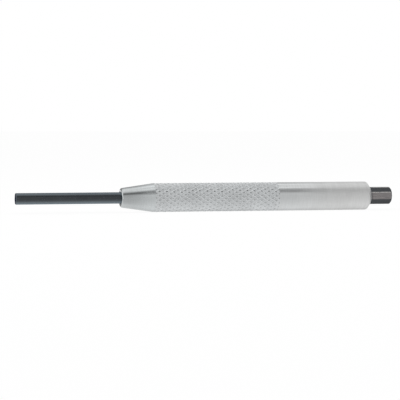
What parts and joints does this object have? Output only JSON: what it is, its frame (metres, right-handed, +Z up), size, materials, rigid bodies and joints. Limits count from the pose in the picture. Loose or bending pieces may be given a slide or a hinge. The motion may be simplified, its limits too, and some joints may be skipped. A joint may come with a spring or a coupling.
{
  "type": "pin punch",
  "caption": "Parallel pin punch: a dark octagonal drift with a slim round pin slides in a knurled guide sleeve with a cone nose, held by a sprung ball.",
  "frame": {"origin": "centre of the flat face at the tip of the pin", "axes": "+X runs along the punch from the tip to the striking end, and +Z points up out of the flat of the octagonal shank that holds the detent ball"},
  "size_m": [0.1685, 0.0126, 0.0126],
  "materials": {
    "plated_steel": "satin",
    "blackened_steel": "satin",
    "bearing_steel": "polished",
    "spring_wire": "satin"
  },
  "bodies": {
    "sleeve": {"guide_sleeve": "plated_steel"},
    "drift": {"drift": "blackened_steel", "detent_spring": "spring_wire"},
    "ball": {"detent_ball": "bearing_steel"}
  },
  "joints": [
    {"name": "drift_slide", "type": "slide", "parent": "sleeve", "child": "drift", "axis": [1, 0, 0], "range_m": [0, 0.0455]},
    {"name": "ball_press", "type": "slide", "parent": "drift", "child": "ball", "axis": [0, 0, -1], "range_m": [0, 0.0003], "stiffness_N_per_m": 1900, "deforming": ["detent_spring"]}
  ]
}
